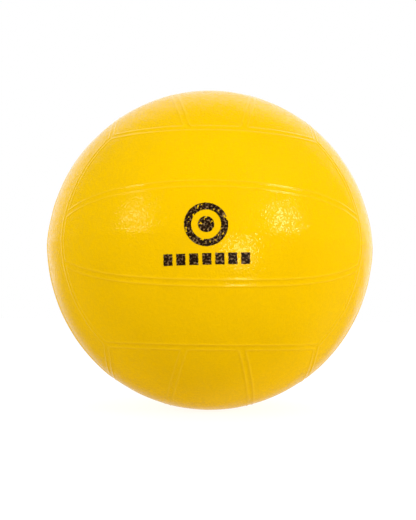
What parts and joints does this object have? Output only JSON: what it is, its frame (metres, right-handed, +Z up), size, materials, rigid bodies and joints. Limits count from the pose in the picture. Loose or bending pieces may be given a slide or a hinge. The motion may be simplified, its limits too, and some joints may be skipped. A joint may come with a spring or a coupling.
{
  "type": "medicine ball",
  "caption": "Round weighted exercise ball with a grained cover of beaded panels, ballast, winding, bladder and needle valve; stands on a small flat.",
  "frame": {"origin": "middle of the flat at the bottom that the loaded ball rests on", "axes": "+Z up through the valve at the upper pole, square to the mould's parting plane; the printed face looks along -Y; +X is to the reader's right"},
  "size_m": [0.22, 0.2201, 0.215],
  "materials": {
    "cover": "glossy, fine pebble grain",
    "ink": "satin screen print, broken by the grain",
    "ballast": "matt, dense filled rubber",
    "thread": "wound nylon thread",
    "bladder": "smooth butyl rubber",
    "valve_stem": "smooth moulded rubber",
    "valve_core": "smooth soft rubber"
  },
  "bodies": {
    "ball": {"front_upper_panel": "cover", "front_middle_panel": "cover", "front_lower_panel": "cover", "back_upper_panel": "cover", "back_middle_panel": "cover", "back_lower_panel": "cover", "left_front_panel": "cover", "left_middle_panel": "cover", "left_back_panel": "cover", "right_front_panel": "cover", "right_middle_panel": "cover", "right_back_panel": "cover", "top_left_panel": "cover", "top_middle_panel": "cover", "top_right_panel": "cover", "bottom_left_panel": "cover", "bottom_middle_panel": "cover", "bottom_right_panel": "cover", "upper_ballast_shell": "ballast", "lower_ballast_shell": "ballast", "thread_winding": "thread", "air_bladder": "bladder", "valve_stem": "valve_stem", "front_print": "ink"},
    "valve_core": {"valve_core": "valve_core"}
  },
  "joints": [
    {"name": "valve_core_pull", "type": "slide", "parent": "ball", "child": "valve_core", "axis": [0, 0, 1], "range_m": [0, 0.02]}
  ]
}
